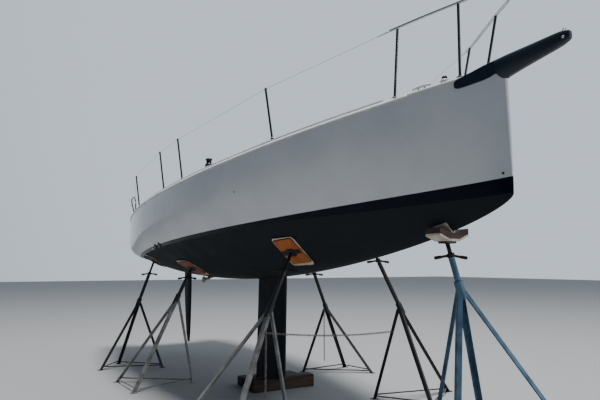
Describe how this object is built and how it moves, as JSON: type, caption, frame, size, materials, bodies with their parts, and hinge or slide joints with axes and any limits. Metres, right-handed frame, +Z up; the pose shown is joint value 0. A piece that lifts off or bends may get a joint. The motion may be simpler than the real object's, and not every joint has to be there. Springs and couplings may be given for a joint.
{
  "type": "sailing yacht",
  "caption": "light racing sloop standing ashore, plumb bow, fin keel on two timbers, spade rudder, bowsprit, deck gear and jack stands, mast unstepped",
  "frame": {"origin": "on the ground under the keel, under the fore timber of the keel, on the middle line of the hull", "axes": "+X towards the bow, +Y to port, +Z up; the hull is trimmed bow up by a little over three degrees, as it stands in the picture"},
  "size_m": [9.2717, 4.135, 3.9172],
  "materials": {
    "topsides": "polished gelcoat",
    "deck": "moulded non-slip gelcoat",
    "smoked_pane": "smoked acrylic",
    "black_alloy": "black anodised",
    "alloy": "anodised",
    "stainless": "polished stainless steel",
    "carbon": "clear coated carbon",
    "antifouling": "matt antifouling paint",
    "bronze": "dull bronze",
    "timber": "rough sawn",
    "plywood": "worn plywood",
    "grey_steel": "weathered galvanised and paint",
    "black_steel": "weathered paint",
    "blue_steel": "weathered paint"
  },
  "bodies": {
    "yacht": {"hull": "topsides", "deck": "deck", "cockpit_lining": "deck", "coachroof": "deck", "window_port": "smoked_pane", "window_starboard": "smoked_pane", "washboard": "smoked_pane", "fore_hatch_frame": "black_alloy", "mast_step": "alloy", "toe_rail_port": "alloy", "toe_rail_starboard": "alloy", "stanchion_fore_port": "stainless", "stanchion_fore_starboard": "stainless", "stanchion_mid_port": "stainless", "stanchion_mid_starboard": "stainless", "stanchion_aft_port": "stainless", "stanchion_aft_starboard": "stainless", "stanchion_quarter_port": "stainless", "stanchion_quarter_starboard": "stainless", "bowsprit": "carbon", "pulpit": "stainless", "quarter_rail_port": "stainless", "quarter_rail_starboard": "stainless", "winch_cabin_base_port": "black_alloy", "winch_cabin_base_starboard": "black_alloy", "winch_primary_base_port": "black_alloy", "winch_primary_base_starboard": "black_alloy", "mainsheet_track": "black_alloy", "chainplate_port": "stainless", "chainplate_starboard": "stainless", "keel_fin": "antifouling", "shaft_bracket": "bronze", "keel_timber_fore": "timber", "keel_timber_aft": "timber", "stand_pad_starboard_fore": "plywood", "stand_frame_starboard_fore": "grey_steel", "stand_pad_starboard_aft": "plywood", "stand_frame_starboard_aft": "grey_steel", "stand_pad_starboard_quarter": "plywood", "stand_frame_starboard_quarter": "black_steel", "stand_pad_port_fore": "plywood", "stand_frame_port_fore": "black_steel", "stand_pad_port_aft": "plywood", "stand_frame_port_aft": "black_steel", "stand_pad_bow": "plywood", "stand_frame_bow": "blue_steel"},
    "steering": {"rudder": "antifouling", "tiller": "carbon"},
    "folding_propeller": {"propeller": "bronze"},
    "slide": {"companion_slide": "smoked_pane"},
    "hatch_lid": {"fore_hatch_lid": "smoked_pane"},
    "drum_cabin_port": {"winch_cabin_drum_port": "alloy"},
    "drum_cabin_starboard": {"winch_cabin_drum_starboard": "alloy"},
    "drum_primary_port": {"winch_primary_drum_port": "alloy"},
    "drum_primary_starboard": {"winch_primary_drum_starboard": "alloy"}
  },
  "joints": [
    {"name": "rudder_turn", "type": "hinge", "parent": "yacht", "child": "steering", "pos_m": [-3.90375, 0, 2.25063], "axis": [-0.0574, 0, 0.9984], "range_deg": [-35, 35]},
    {"name": "propeller_spin", "type": "hinge", "parent": "yacht", "child": "folding_propeller", "pos_m": [-2.77893, 0, 1.50195], "axis": [-0.9939, 0, -0.1103], "continuous": true},
    {"name": "companion_slide_travel", "type": "slide", "parent": "yacht", "child": "slide", "axis": [0.9984, 0, 0.0574], "range_m": [0, 0.56]},
    {"name": "fore_hatch_hinge", "type": "hinge", "parent": "yacht", "child": "hatch_lid", "pos_m": [2.44856, 0, 3.19432], "axis": [0, 1, 0], "range_deg": [0, 100]},
    {"name": "winch_cabin_port_turn", "type": "hinge", "parent": "yacht", "child": "drum_cabin_port", "pos_m": [-0.97882, 0.61, 3.11992], "axis": [-0.0574, 0, 0.9984], "continuous": true},
    {"name": "winch_cabin_starboard_turn", "type": "hinge", "parent": "yacht", "child": "drum_cabin_starboard", "pos_m": [-0.97882, -0.61, 3.11992], "axis": [-0.0574, 0, 0.9984], "continuous": true},
    {"name": "winch_primary_port_turn", "type": "hinge", "parent": "yacht", "child": "drum_primary_port", "pos_m": [-2.02709, 0.86, 3.05967], "axis": [-0.0574, 0, 0.9984], "continuous": true},
    {"name": "winch_primary_starboard_turn", "type": "hinge", "parent": "yacht", "child": "drum_primary_starboard", "pos_m": [-2.02709, -0.86, 3.05967], "axis": [-0.0574, 0, 0.9984], "continuous": true}
  ]
}
